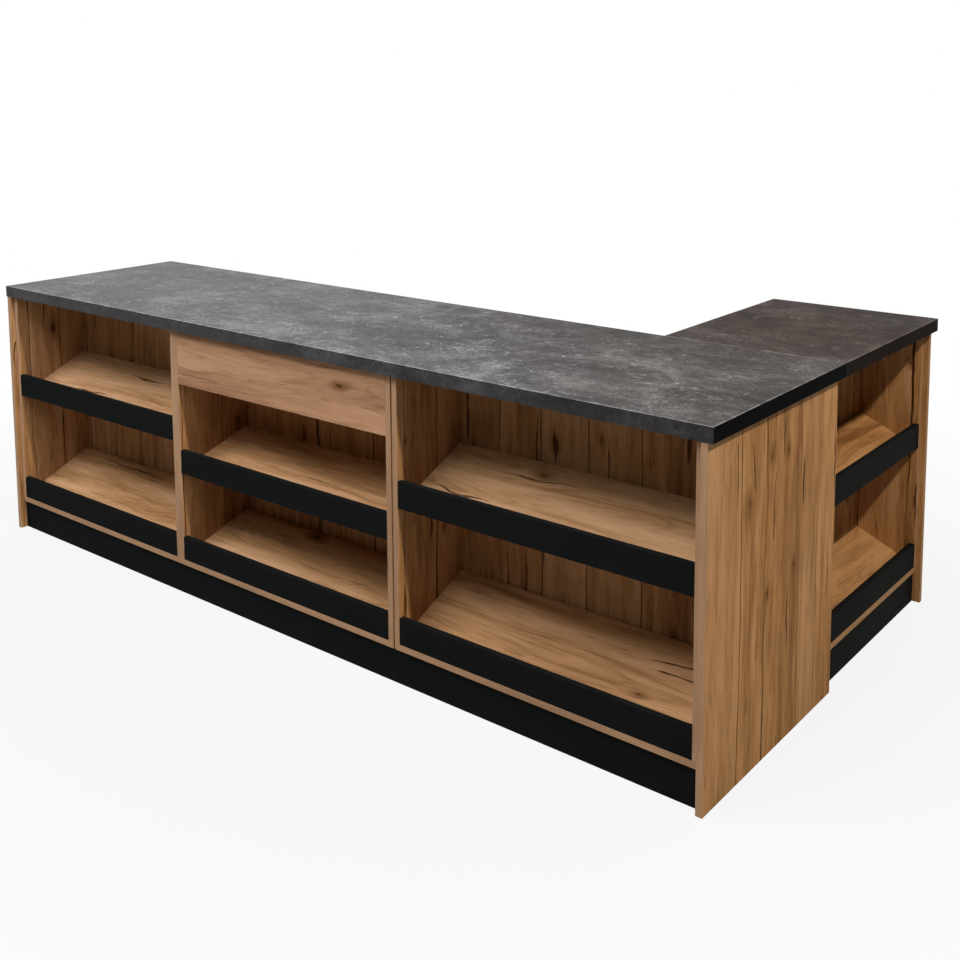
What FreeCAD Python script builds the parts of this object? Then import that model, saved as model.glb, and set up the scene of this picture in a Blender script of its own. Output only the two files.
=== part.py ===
"""L-shaped shop counter made of laminated boards.

Three units stand side by side along X and a fourth stands behind their right end. Every unit has a customer
side with tilted display shelves and a staff side behind a partition. The middle unit carries a drawer that
opens towards the staff. All sizes are in millimetres, +Z is up, and the origin lies on the floor under the
middle of the two worktops.
"""
import FreeCAD, Part
import os
import re
from collections import namedtuple

SIZES = [
    ("board", 18, "thickness of the carcass boards"),
    ("edge_radius", 1, "rounding of the edge banding"),
    ("counter_height", 900, "floor to worktop surface"),
    ("worktop_thickness", 38, "worktop"),
    ("plinth_height", 100, "floor to carcass"),
    ("module_width", 925, "each of the three units of the main run"),
    ("module_gap", 5, "gap between the middle and the right unit"),
    ("end_panel_depth", 702, "end panels of the main run, front to back"),
    ("carcass_setback", 15, "carcass front behind the end panel fronts"),
    ("plinth_setback", 9, "plinth behind the carcass front"),
    ("overhang_front", 2, "worktop past the end panel fronts"),
    ("overhang_back", 15, "main worktop past the end panel backs"),
    ("overhang_left", 3, "worktop past the left end panel"),
    ("overhang_right", 14, "worktop past the right end panel"),
    ("return_width", 698, "return unit along Y"),
    ("return_panel_depth", 510, "return end panel along X"),
    ("return_overhang_end", 14, "return worktop past its end panel"),
    ("return_overhang_staff", 16, "return worktop past its staff side"),
    ("display_depth", 270, "main run, carcass front to partition"),
    ("return_display_depth", 190, "return, carcass front to partition"),
    ("lip_height", 75, "black boards in front of the shelves"),
    ("upper_lip_level", 500, "underside of the upper lips"),
    ("middle_lip_level", 401, "underside of the middle unit's upper lip"),
    ("shelf_tilt", 24, "degrees, shelves of the outer units and the return"),
    ("middle_tilt", 17, "degrees, shelves of the middle unit"),
    ("shelf_drop", 8, "upper shelf corner below the lip's underside"),
    ("fascia_height", 172, "panel over the middle bay"),
    ("staff_shelf_level", 470, "underside of the staff side shelves"),
    ("rail_width", 100, "flat rails under the worktop"),
    ("drawer_gap", 3, "around the drawer front"),
    ("drawer_board", 16, "drawer sides and back"),
    ("drawer_side_height", 100, "drawer sides and back"),
    ("drawer_length", 520, "drawer sides"),
    ("drawer_lift", 12, "drawer sides above the deck"),
    ("drawer_sheet", 4, "drawer bottom sheet"),
    ("groove_depth", 6, "groove that holds the drawer bottom"),
    ("groove_height", 10, "groove above the lower edge of the drawer sides"),
    ("runner_length", 500, "telescopic runners"),
    ("runner_height", 46, "outer runner member"),
    ("runner_width", 12.7, "carcass side to drawer side"),
    ("runner_flange", 9, "width of the runner channels"),
    ("runner_steel", 1.2, "wall of the runner channels"),
    ("runner_clearance", 0.4, "between two nested channels"),
    ("runner_end_gap", 2, "runner end behind the drawer front"),
    ("handle_spacing", 128, "between the handle's two legs, on centres"),
    ("handle_projection", 28, "handle past the drawer front"),
    ("handle_bar", 10, "thickness of the handle's legs and grip"),
    ("handle_height", 12, "handle's grip, upright"),
    ("handle_radius", 2, "rounding of the handle"),
    ("screw_length", 50, "carcass screw"),
    ("screw_diameter", 7, "carcass screw shank"),
    ("screw_head", 10, "carcass screw head"),
    ("screw_head_depth", 3, "carcass screw countersink"),
    ("screw_inset", 60, "carcass screws from the ends of a shelf"),
    ("screw_margin", 150, "carcass screws from the ends of a partition"),
    ("foot_screw_inset", 80, "screws from the ends of the bottom and the deck"),
    ("panel_screw_length", 30, "screw into end panels and worktops"),
    ("panel_screw_diameter", 4, "panel screw shank"),
    ("panel_screw_head", 8, "panel screw head"),
    ("panel_screw_head_depth", 2.5, "panel screw countersink"),
    ("rail_screw_inset", 150, "worktop screws from the ends of a rail"),
    ("connector_diameter", 8, "sleeve that ties two units"),
    ("connector_head", 16, "connector head"),
    ("connector_head_height", 2, "connector head inside the unit"),
    ("connector_inset", 40, "connectors from partition and back edge"),
    ("connector_low", 260, "lower row of connectors"),
    ("connector_high", 620, "upper row of connectors"),
    ("corner_screw_inset", 150, "corner screws from both sides of the return"),
    ("pocket_diameter", 36, "worktop joint pockets"),
    ("pocket_depth", 26, "worktop joint pockets"),
    ("pocket_offset", 60, "pocket centre from the worktop joint"),
    ("joint_slot_depth", 18, "slot for the worktop joint bolt"),
    ("joint_bolt_diameter", 8, "worktop joint bolt"),
    ("joint_slot_play", 1, "slot wider than its bolt"),
    ("joint_washer", 20, "worktop joint washer"),
    ("joint_washer_height", 4, "worktop joint washer"),
    ("joint_nut", 14, "worktop joint nut"),
    ("joint_nut_height", 7, "worktop joint nut"),
    ("joint_bolt_inset", 120, "joint bolts from both ends of the joint"),
    ("foot_diameter", 50, "levelling foot base and flange"),
    ("foot_stem", 28, "levelling foot stem"),
    ("foot_base_height", 8, "levelling foot base and flange"),
    ("foot_inset", 70, "levelling feet from the unit's edges"),
]

doc = FreeCAD.newDocument("shop_counter")
sheet = doc.addObject("Spreadsheet::Sheet", "Sizes")
for row, (alias, value, note) in enumerate(SIZES, start=1):
    sheet.set(f"A{row}", note)
    sheet.set(f"B{row}", str(value))
    sheet.setAlias(f"B{row}", alias)
doc.recompute()

ALIASES = {alias for alias, value, note in SIZES}
WORD = re.compile(r"[a-z_]+")
X_AXIS = FreeCAD.Vector(1, 0, 0)
Y_AXIS = FreeCAD.Vector(0, 1, 0)
Z_AXIS = FreeCAD.Vector(0, 0, 1)
nodes = []


def formula(text):
    """A formula written with the names of the sheet, as an expression of the document."""
    return WORD.sub(lambda found: "Sizes." + found[0] if found[0] in ALIASES else found[0], str(text))


def bind(piece, **sizes):
    for name, text in sizes.items():
        piece.setExpression(name, formula(text))


def put(piece, place, axis=Z_AXIS, angle=0):
    """Moves a piece to a place of three formulas, turned about an axis by a formula in degrees."""
    piece.Placement = FreeCAD.Placement(FreeCAD.Vector(), FreeCAD.Rotation(axis, 1))
    for name, text in zip("xyz", place):
        piece.setExpression(f"Placement.Base.{name}", formula(text))
    piece.setExpression("Placement.Rotation.Angle", formula(angle))


def node(piece, label):
    """Names a finished piece, which is written to a file of that name."""
    piece.Label = label
    nodes.append(piece)
    return piece


def group(name, pieces):
    compound = doc.addObject("Part::Compound", name)
    compound.Links = pieces
    return compound


def cut(name, base, tool):
    result = doc.addObject("Part::Cut", name)
    result.Base = base
    result.Tool = tool
    return result


def fuse(name, pieces):
    result = doc.addObject("Part::MultiFuse", name)
    result.Shapes = pieces
    return result


def block(name, place, length, width, height, radius="edge_radius", axis=Z_AXIS, angle=0):
    """A board with rounded edges, or with sharp ones if radius is None."""
    body = doc.addObject("PartDesign::Body", f"{name}_body")
    plain = body.newObject("PartDesign::AdditiveBox", f"{name}_blank")
    bind(plain, Length=length, Width=width, Height=height)
    if radius:
        doc.recompute()
        rounding = body.newObject("PartDesign::Fillet", f"{name}_edges")
        rounding.Base = (plain, [""])
        rounding.UseAllEdges = True
        bind(rounding, Radius=radius)
        body.Tip = rounding
    put(body, place, axis, angle)
    return body


def cylinder(name, diameter, height, place=(0, 0, 0), axis=Z_AXIS, angle=0):
    piece = doc.addObject("Part::Cylinder", name)
    bind(piece, Radius=f"({diameter}) / 2", Height=height)
    put(piece, place, axis, angle)
    return piece


# The counter's main planes
carcass_floor = "(plinth_height + board)"
carcass_top = "(counter_height - worktop_thickness)"
carcass_height = f"({carcass_top} - {carcass_floor})"
main_depth = "(end_panel_depth - carcass_setback)"
return_depth = "(return_panel_depth - carcass_setback)"
worktop_length = "(overhang_left + 2 * board + 3 * module_width + module_gap + overhang_right)"
worktop_depth = "(overhang_front + end_panel_depth + overhang_back)"
return_top_length = "(return_width + board + return_overhang_end - overhang_back)"
return_top_depth = "(overhang_right + return_panel_depth + return_overhang_staff)"
total_depth = f"({worktop_depth} + {return_top_length})"
left_face = f"(-{worktop_length} / 2 + overhang_left)"
right_face = f"({worktop_length} / 2 - overhang_right)"
front_face = f"(-{total_depth} / 2 + overhang_front)"
back_face = f"({front_face} + end_panel_depth)"
joint_line = f"({back_face} + overhang_back)"
deck_level = f"({carcass_top} - fascia_height)"

# A unit is laid out in its own directions: u to the right and v to the back, as the customer sees it.
# x and y are its left front corner. The turned unit faces +X, so its u runs along +Y and its v along -X.
Unit = namedtuple("Unit", "name x y turned width depth display tilt lip_level shelf_level partition_top")
main_y = f"({front_face} + carcass_setback)"
side_shelf_level = "(upper_lip_level - shelf_drop)"
left_unit = Unit("left", f"({left_face} + board)", main_y, False, "module_width", main_depth,
                 "display_depth", "shelf_tilt", "upper_lip_level", side_shelf_level, carcass_top)
middle_unit = left_unit._replace(name="middle", x=f"({left_unit.x} + module_width)", tilt="middle_tilt",
                                 lip_level="middle_lip_level", shelf_level="middle_lip_level",
                                 partition_top=deck_level)
right_unit = left_unit._replace(name="right", x=f"({middle_unit.x} + module_width + module_gap)")
return_unit = left_unit._replace(name="return", x=f"({right_face} - carcass_setback)", y=back_face, turned=True,
                                 width="return_width", depth=return_depth, display="return_display_depth")
UNITS = [left_unit, middle_unit, right_unit, return_unit]


def spot(unit, u, v, w):
    """A point of a unit in the counter's frame."""
    if unit.turned:
        return f"{unit.x} - ({v})", f"{unit.y} + ({u})", w
    return f"{unit.x} + ({u})", f"{unit.y} + ({v})", w


def board(name, unit, u, v, w, width, depth, height, **more):
    """A board of a unit, from its corner with the least u, v and w."""
    if unit.turned:
        return block(name, spot(unit, u, f"{v} + {depth}", w), depth, width, height, **more)
    return block(name, spot(unit, u, v, w), width, depth, height, **more)


def tilted_shelf(name, unit, level):
    """A shelf that rises to the back: its upper front edge meets the lip, its lower back edge the partition."""
    start = shelf_start(unit)
    length = shelf_length(unit)
    width = f"{unit.width} - 2 * board"
    if unit.turned:
        place = spot(unit, "board", f"{start} + {length} * cos({unit.tilt})",
                     f"{level} + {length} * sin({unit.tilt})")
        return block(name, place, length, width, "board", axis=Y_AXIS, angle=unit.tilt)
    return block(name, spot(unit, "board", start, level), width, length, "board", axis=X_AXIS, angle=unit.tilt)


def shelf_start(unit):
    return f"(board + board * sin({unit.tilt}))"


def shelf_length(unit):
    return f"(({unit.display} - {shelf_start(unit)}) / cos({unit.tilt}))"


def countersunk_screw(name, diameter, length, head, head_depth):
    """A screw along +Z, with its head's flat face at the origin."""
    cone = doc.addObject("Part::Cone", f"{name}_head")
    bind(cone, Radius1=f"{head} / 2", Radius2=f"{diameter} / 2", Height=head_depth)
    return fuse(name, [cone, cylinder(f"{name}_shank", diameter, length)])


def copy_at(name, piece, place, axis=Z_AXIS, angle=0):
    link = doc.addObject("App::Link", name)
    link.LinkedObject = piece
    put(link, place, axis, angle)
    return link


def aim(unit, way):
    """The turn that points a piece along +Z to the unit's right (way 1) or left (way -1)."""
    return (X_AXIS, -90 * way) if unit.turned else (Y_AXIS, 90 * way)


def both_sides(unit, piece, name, inset, spots):
    """Copies of a screw through both sides of a unit, from inset deep in each side, at each (v, w)."""
    copies = []
    for count, (v, w) in enumerate(spots):
        from_left = spot(unit, inset, v, w)
        from_right = spot(unit, f"{unit.width} - ({inset})", v, w)
        copies.append(copy_at(f"{name}_{count}_left", piece, from_left, *aim(unit, 1)))
        copies.append(copy_at(f"{name}_{count}_right", piece, from_right, *aim(unit, -1)))
    return copies


# Fasteners that are used many times
carcass_screw = countersunk_screw("carcass_screw", "screw_diameter", "screw_length", "screw_head",
                                  "screw_head_depth")
panel_screw = countersunk_screw("panel_screw", "panel_screw_diameter", "panel_screw_length",
                                "panel_screw_head", "panel_screw_head_depth")


def rail_starts(unit):
    """Where the unit's two flat rails begin: behind the partition, or the fascia, and at the staff side."""
    first = "board" if unit is middle_unit else f"{unit.display} + board"
    return first, f"{unit.depth} - rail_width"


def shelf_screw_spots(unit, level):
    """Screws in the middle of a tilted shelf's thickness, near its front and its back."""
    spots = []
    for along in ("screw_inset", f"({shelf_length(unit)} - screw_inset)"):
        v = f"{shelf_start(unit)} + {along} * cos({unit.tilt}) - board / 2 * sin({unit.tilt})"
        w = f"{level} + {along} * sin({unit.tilt}) + board / 2 * cos({unit.tilt})"
        spots.append((v, w))
    return spots


def carcass_screws(unit):
    """Screws through the sides into every board between them, and through the bottom into the sides."""
    partition_v = f"{unit.display} + board / 2"
    spots = [
        (partition_v, f"{carcass_floor} + screw_margin"),
        (partition_v, f"{unit.partition_top} - screw_margin"),
        ("board / 2", f"{carcass_floor} + lip_height / 2"),
        ("board / 2", f"{unit.lip_level} + lip_height / 2"),
    ]
    spots += shelf_screw_spots(unit, carcass_floor)
    spots += shelf_screw_spots(unit, unit.shelf_level)
    spots += [(f"{start} + rail_width / 2", f"{carcass_top} - board / 2") for start in rail_starts(unit)]
    if unit is middle_unit:
        spots.append(("board / 2", f"{deck_level} + fascia_height / 2"))
        spots.append(("foot_screw_inset", f"{deck_level} + board / 2"))
        spots.append((f"{unit.depth} - foot_screw_inset", f"{deck_level} + board / 2"))
    else:
        spots.append((f"{unit.display} + board + screw_inset", "staff_shelf_level + board / 2"))
        spots.append((f"{unit.depth} - screw_inset", "staff_shelf_level + board / 2"))
    screws = both_sides(unit, carcass_screw, f"{unit.name}_screw", 0, spots)
    for u in ("board / 2", f"{unit.width} - board / 2"):
        for v in ("foot_screw_inset", f"{unit.depth} - foot_screw_inset"):
            place = spot(unit, u, v, "plinth_height")
            screws.append(copy_at(f"{unit.name}_bottom_screw_{len(screws)}", carcass_screw, place))
    return group(f"{unit.name}_screws", screws)


def corner_screws():
    """Screws through the return's near side into the right unit's rail and staff shelf."""
    screws = []
    for v in ("corner_screw_inset", f"{return_depth} - corner_screw_inset"):
        for w in (f"{carcass_top} - board / 2", "staff_shelf_level + board / 2"):
            place = spot(return_unit, "board", v, w)
            screws.append(copy_at(f"corner_screw_{len(screws)}", carcass_screw, place, *aim(return_unit, -1)))
    return group("corner_screws", screws)


def side_tie_spots(unit):
    """Four places on a unit's side, behind its partition, for connectors or end panel screws."""
    rows = ("connector_low", "connector_high")
    columns = (f"{unit.display} + board + connector_inset", f"{unit.depth} - connector_inset")
    return [(v, w) for v in columns for w in rows]


def panel_screws():
    """Screws from the units' sides into the end panels and from the rails into the worktops."""
    screws = []
    for unit, u, way in ((left_unit, "board", -1), (right_unit, "module_width - board", 1),
                         (return_unit, "return_width - board", 1)):
        for v, w in side_tie_spots(unit):
            place = spot(unit, u, v, w)
            screws.append(copy_at(f"panel_screw_{len(screws)}", panel_screw, place, *aim(unit, way)))
    for unit in UNITS:
        for start in rail_starts(unit):
            for u in ("rail_screw_inset", f"{unit.width} - rail_screw_inset"):
                place = spot(unit, u, f"{start} + rail_width / 2", f"{carcass_top} - board")
                screws.append(copy_at(f"panel_screw_{len(screws)}", panel_screw, place))
    return group("panel_screws", screws)


def unit_connector(name, span):
    """A sleeve with a head at each end, along +Z from the inner face of the first side."""
    sleeve = cylinder(f"{name}_sleeve", "connector_diameter", span)
    first = cylinder(f"{name}_first_head", "connector_head", "connector_head_height",
                     (0, 0, "-connector_head_height"))
    second = cylinder(f"{name}_second_head", "connector_head", "connector_head_height", (0, 0, span))
    return fuse(name, [sleeve, first, second])


def unit_connectors():
    """Connectors that tie the three units of the main run."""
    connectors = []
    for unit, span in ((left_unit, "2 * board"), (middle_unit, "2 * board + module_gap")):
        connector = unit_connector(f"{unit.name}_connector", span)
        for v, w in side_tie_spots(unit):
            place = spot(unit, "module_width - board", v, w)
            connectors.append(copy_at(f"connector_{len(connectors)}", connector, place, *aim(unit, 1)))
    return group("unit_connectors", connectors)


screw_groups = {unit.name: carcass_screws(unit) for unit in UNITS}
corner_group = corner_screws()
panel_screw_group = node(panel_screws(), "panel_screws")
connector_group = node(unit_connectors(), "unit_connectors")
node(group("all_carcass_screws", [*screw_groups.values(), corner_group]), "carcass_screws")


def drill_for(unit):
    """Everything that needs a hole in the boards of a unit."""
    tools = [screw_groups[unit.name], panel_screw_group, connector_group]
    if unit in (right_unit, return_unit):
        tools.append(corner_group)
    return group(f"{unit.name}_holes", tools)


def build_unit(unit):
    """The boards of one carcass, drilled for their screws."""
    holes = drill_for(unit)
    inside = f"({unit.width} - 2 * board)"
    side_height = carcass_height
    pieces = {
        "bottom": board(f"{unit.name}_bottom", unit, 0, 0, "plinth_height", unit.width, unit.depth, "board"),
        "left_side": board(f"{unit.name}_left", unit, 0, 0, carcass_floor, "board", unit.depth, side_height),
        "right_side": board(f"{unit.name}_right", unit, f"{unit.width} - board", 0, carcass_floor,
                            "board", unit.depth, side_height),
        "partition": board(f"{unit.name}_partition", unit, "board", unit.display, carcass_floor,
                           inside, "board", f"({unit.partition_top} - {carcass_floor})"),
        "lower_lip": board(f"{unit.name}_low_lip", unit, "board", 0, carcass_floor, inside, "board",
                           "lip_height"),
        "upper_lip": board(f"{unit.name}_up_lip", unit, "board", 0, unit.lip_level, inside, "board",
                           "lip_height"),
        "lower_shelf": tilted_shelf(f"{unit.name}_low_shelf", unit, carcass_floor),
        "upper_shelf": tilted_shelf(f"{unit.name}_up_shelf", unit, unit.shelf_level),
    }
    if unit is middle_unit:
        pieces["fascia"] = board("fascia", unit, "board", 0, deck_level, inside, "board", "fascia_height")
        pieces["drawer_deck"] = board("deck", unit, "board", "board", deck_level, inside,
                                      f"({unit.depth} - board)", "board")
    else:
        pieces["staff_shelf"] = board(f"{unit.name}_staff_shelf", unit, "board", f"({unit.display} + board)",
                                      "staff_shelf_level", inside, f"({unit.depth} - {unit.display} - board)",
                                      "board")
    for part, piece in pieces.items():
        node(cut(f"{unit.name}_{part}", piece, holes), f"{unit.name}_unit_{part}")
    rails = [board(f"{unit.name}_rail_{place}", unit, "board", f"({start})", f"{carcass_top} - board", inside,
                   "rail_width", "board")
             for place, start in zip(("inner", "staff"), rail_starts(unit))]
    return cut(f"{unit.name}_rails", group(f"{unit.name}_rail_pair", rails), holes)


rails = {unit.name: build_unit(unit) for unit in UNITS}
node(group("main_rails", [rails["left"], rails["middle"], rails["right"]]), "top_rails_main")
node(rails["return"], "top_rails_return")


# End panels reach the floor, cover the units' ends and stand proud of the carcass fronts
def end_panels():
    for label, place in (("end_panel_left", left_face), ("end_panel_right", f"{right_face} - board")):
        panel = block(label, (place, front_face, 0), "board", "end_panel_depth", carcass_top)
        node(cut(f"{label}_drilled", panel, panel_screw_group), label)
    place = (f"{right_face} - return_panel_depth", f"{back_face} + return_width", 0)
    panel = block("end_panel_return", place, "return_panel_depth", "board", carcass_top)
    node(cut("end_panel_return_drilled", panel, panel_screw_group), "end_panel_return")


def plinths():
    main = block("main_plinth", (f"{left_face} + board", f"{main_y} + plinth_setback", 0),
                 f"{right_face} - {left_face} - 2 * board", "board", "plinth_height")
    node(main, "plinth_main")
    node(board("return_plinth", return_unit, 0, "plinth_setback", 0, "return_width", "board",
               "plinth_height"), "plinth_return")


def levelling_feet():
    base = cylinder("foot_base", "foot_diameter", "foot_base_height")
    stem = cylinder("foot_stem_rod", "foot_stem", "plinth_height")
    flange = cylinder("foot_flange", "foot_diameter", "foot_base_height",
                      (0, 0, "plinth_height - foot_base_height"))
    foot = fuse("levelling_foot", [base, stem, flange])
    feet = []
    for unit in UNITS:
        for u in ("foot_inset", f"{unit.width} - foot_inset"):
            for v in ("foot_inset", f"{unit.depth} - foot_inset"):
                feet.append(copy_at(f"foot_{len(feet)}", foot, spot(unit, u, v, 0)))
    node(group("feet", feet), "levelling_feet")


# The worktops meet in a butt joint, pulled together by bolts in pockets on their undersides
joint_bolt_places = (f"{right_face} - joint_bolt_inset",
                     f"{right_face} - return_panel_depth + joint_bolt_inset")
bolt_level = f"({carcass_top} + joint_slot_depth - joint_bolt_diameter / 2)"


def joint_pockets():
    tools = []
    slot_width = "(joint_bolt_diameter + joint_slot_play)"
    for count, x in enumerate(joint_bolt_places):
        for end in ("-", "+"):
            tools.append(cylinder(f"pocket_{len(tools)}", "pocket_diameter", "pocket_depth",
                                  (x, f"{joint_line} {end} pocket_offset", carcass_top)))
        tools.append(block(f"joint_slot_{count}",
                           (f"{x} - {slot_width} / 2", f"{joint_line} - pocket_offset", carcass_top),
                           slot_width, "2 * pocket_offset", "joint_slot_depth", radius=None))
    return fuse("joint_pockets", tools)


def joint_bolts():
    """Each bolt lies along Y, with a washer and a nut in both pockets."""
    bolts = []
    grip = "(pocket_offset - joint_washer_height)"
    for count, x in enumerate(joint_bolt_places):
        def rod(part, diameter, start, length):
            return cylinder(f"bolt_{count}_{part}", diameter, length,
                            (x, f"{joint_line} + ({start})", bolt_level), X_AXIS, -90)
        bolts.append(fuse(f"joint_bolt_{count}", [
            rod("rod", "joint_bolt_diameter", "-pocket_offset - joint_nut_height",
                "2 * (pocket_offset + joint_nut_height)"),
            rod("near_washer", "joint_washer", "-pocket_offset", "joint_washer_height"),
            rod("far_washer", "joint_washer", grip, "joint_washer_height"),
            rod("near_nut", "joint_nut", "-pocket_offset - joint_nut_height", "joint_nut_height"),
            rod("far_nut", "joint_nut", "pocket_offset", "joint_nut_height"),
        ]))
    node(group("joint_bolts", bolts), "worktop_joint_bolts")


def worktops():
    holes = group("worktop_holes", [joint_pockets(), panel_screw_group])
    main = block("main_top", (f"-{worktop_length} / 2", f"-{total_depth} / 2", carcass_top),
                 worktop_length, worktop_depth, "worktop_thickness")
    node(cut("main_top_drilled", main, holes), "worktop_main")
    side = block("return_top", (f"{worktop_length} / 2 - {return_top_depth}", joint_line, carcass_top),
                 return_top_depth, return_top_length, "worktop_thickness")
    node(cut("return_top_drilled", side, holes), "worktop_return")


# The drawer runs in the middle unit, over the deck, and opens towards the staff
drawer_outside = "(module_width - 2 * board - 2 * runner_width)"
drawer_inside = f"({drawer_outside} - 2 * drawer_board)"
drawer_left = "(board + runner_width)"
drawer_floor = f"({deck_level} + board + drawer_lift)"
drawer_front_v = f"({main_depth} - board)"
drawer_back_v = f"({drawer_front_v} - drawer_length)"


def drawer():
    unit = middle_unit
    sheet_blank = board("drawer_sheet_blank", unit, f"{drawer_left} + drawer_board - groove_depth",
                        f"({drawer_back_v} + drawer_board - groove_depth)", f"{drawer_floor} + groove_height",
                        f"{drawer_inside} + 2 * groove_depth",
                        "(drawer_length - drawer_board + 2 * groove_depth)", "drawer_sheet", radius=None)
    front_level = f"({deck_level} + board + drawer_gap)"
    pieces = {
        "drawer_front": board("drawer_face", unit, "board + drawer_gap", drawer_front_v, front_level,
                              "module_width - 2 * board - 2 * drawer_gap", "board",
                              f"{carcass_top} - board - drawer_gap - {front_level}"),
        "drawer_left_side": board("drawer_left_blank", unit, drawer_left, drawer_back_v, drawer_floor,
                                  "drawer_board", "drawer_length", "drawer_side_height"),
        "drawer_right_side": board("drawer_right_blank", unit,
                                   f"{drawer_left} + {drawer_outside} - drawer_board", drawer_back_v,
                                   drawer_floor, "drawer_board", "drawer_length", "drawer_side_height"),
        "drawer_back": board("drawer_back_blank", unit, f"{drawer_left} + drawer_board", drawer_back_v,
                             drawer_floor, drawer_inside, "drawer_board", "drawer_side_height"),
    }
    for label, piece in pieces.items():
        node(cut(f"{label}_grooved", piece, sheet_blank), label)
    node(sheet_blank, "drawer_bottom")


def handle():
    """A flat bow handle on the staff face of the drawer front."""
    body = doc.addObject("PartDesign::Body", "handle_body")
    bow = body.newObject("PartDesign::AdditiveBox", "handle_bow")
    bind(bow, Length="handle_spacing + handle_bar", Width="handle_projection", Height="handle_height")
    opening = body.newObject("PartDesign::SubtractiveBox", "handle_opening")
    bind(opening, Length="handle_spacing - handle_bar", Width="handle_projection - handle_bar",
         Height="handle_height")
    put(opening, ("handle_bar", 0, 0))
    doc.recompute()
    rounding = body.newObject("PartDesign::Fillet", "handle_edges")
    rounding.Base = (opening, [""])
    rounding.UseAllEdges = True
    bind(rounding, Radius="handle_radius")
    body.Tip = rounding
    middle = f"({deck_level} + board + {carcass_top} - board) / 2"
    put(body, spot(middle_unit, "(module_width - handle_spacing - handle_bar) / 2", main_depth,
                   f"{middle} - handle_height / 2"))
    node(body, "drawer_handle")


def channel(name, u, height, opens_right):
    """A runner member: a channel along the drawer, open to the right or to the left."""
    start = f"({drawer_front_v} - runner_end_gap - runner_length)"
    level = f"({drawer_floor} + drawer_side_height / 2 - {height} / 2)"
    outside = board(f"{name}_blank", middle_unit, u, start, level, "runner_flange", "runner_length", height,
                    radius=None)
    inner_u = f"{u} + runner_steel" if opens_right else f"{u} - runner_steel"
    inside = board(f"{name}_hollow", middle_unit, inner_u, start, f"{level} + runner_steel", "runner_flange",
                   "runner_length", f"{height} - 2 * runner_steel", radius=None)
    return cut(name, outside, inside)


def runners():
    """Telescopic runners of three nested channels on both sides of the drawer."""
    step = "(runner_steel + runner_clearance)"
    right_wall = "(module_width - board)"
    members = {
        "outer": ("runner_height", "board", True, f"{right_wall} - runner_flange"),
        "middle": (f"(runner_height - 2 * {step})", f"board + {step}", True,
                   f"{right_wall} - {step} - runner_flange"),
        "inner": (f"(runner_height - 4 * {step})", "board + runner_width - runner_flange", False,
                  f"{right_wall} - runner_width"),
    }
    for member, (height, left_u, opens_right, right_u) in members.items():
        left = channel(f"{member}_left", left_u, height, opens_right)
        right = channel(f"{member}_right", right_u, height, not opens_right)
        node(group(f"runner_{member}", [left, right]), f"runner_{member}_members")


end_panels()
plinths()
levelling_feet()
worktops()
joint_bolts()
drawer()
handle()
runners()
doc.recompute()

for piece in doc.Objects:
    if "Invalid" in piece.State or "Error" in piece.State:
        raise RuntimeError(f"{piece.Label} failed: {piece.State}")
for piece in nodes:
    if piece.Shape.isNull() or not piece.Shape.isValid() or not piece.Shape.Solids:
        raise RuntimeError(f"{piece.Label} has no sound shape")

os.makedirs("parts", exist_ok=True)
for piece in nodes:
    piece.Shape.exportStep(f"parts/{piece.Label}.step")
print(len(nodes), "nodes,", sum(len(piece.Shape.Solids) for piece in nodes), "solids")
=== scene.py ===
"""Dresses the packed shop counter in laminates, plastic and steel, and sets up its studio."""
import math

import bmesh
import bpy
from bpy.props import FloatProperty, FloatVectorProperty, PointerProperty
from mathutils import Euler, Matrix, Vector


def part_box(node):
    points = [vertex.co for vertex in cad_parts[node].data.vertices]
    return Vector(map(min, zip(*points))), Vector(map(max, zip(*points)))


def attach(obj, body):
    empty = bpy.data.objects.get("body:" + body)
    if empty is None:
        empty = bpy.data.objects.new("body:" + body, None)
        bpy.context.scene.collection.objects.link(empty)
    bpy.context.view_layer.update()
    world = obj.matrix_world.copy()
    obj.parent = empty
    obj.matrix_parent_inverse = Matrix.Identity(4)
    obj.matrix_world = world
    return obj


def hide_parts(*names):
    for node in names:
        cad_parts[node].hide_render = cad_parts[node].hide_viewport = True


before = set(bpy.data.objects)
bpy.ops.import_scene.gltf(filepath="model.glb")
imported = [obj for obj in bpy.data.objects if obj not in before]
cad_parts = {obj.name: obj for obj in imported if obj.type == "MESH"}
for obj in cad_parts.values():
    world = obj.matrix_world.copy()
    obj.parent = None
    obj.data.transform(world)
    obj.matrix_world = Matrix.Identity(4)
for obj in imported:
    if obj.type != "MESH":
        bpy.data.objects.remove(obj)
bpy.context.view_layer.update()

bl_info = {
    "name": "Shop counter looks",
    "version": (1, 0, 0),
    "blender": (4, 5, 0),
    "location": "View3D > Sidebar > Counter",
    "description": "Laminates, fittings and studio for an L-shaped shop counter",
    "category": "Object",
}

MAIN_UNITS = ("left", "middle", "right")
UNITS = MAIN_UNITS + ("return",)
MM = 0.001
WHITE = (1.0, 1.0, 1.0)

# Tilt of the shelves, which is less in the middle unit
STEEP_SHELF = math.radians(24)
GENTLE_SHELF = math.radians(17)

# Where a board lies in the oak print. Its coordinates start far from zero. Two boards a metre apart lie
# BOARD_SHIFT metres apart in the print, with SIDE_SHARE of that sideways, and planks of unlike tone up to
# PLANK_JUMP. Planks are so long that none ends on a board
PRINT_START = 150.0
BOARD_SHIFT = 61.0
SIDE_SHARE = 0.37
PLANK_JUMP = (5.3, 3.1, 7.7)
PLANK_LENGTH = 1000.0

# Length and width of the patterns that bend the grain and the joints
GRAIN_BEND = (420 * MM, 130 * MM)
JOINT_BEND = (90 * MM, 60 * MM)


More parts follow.
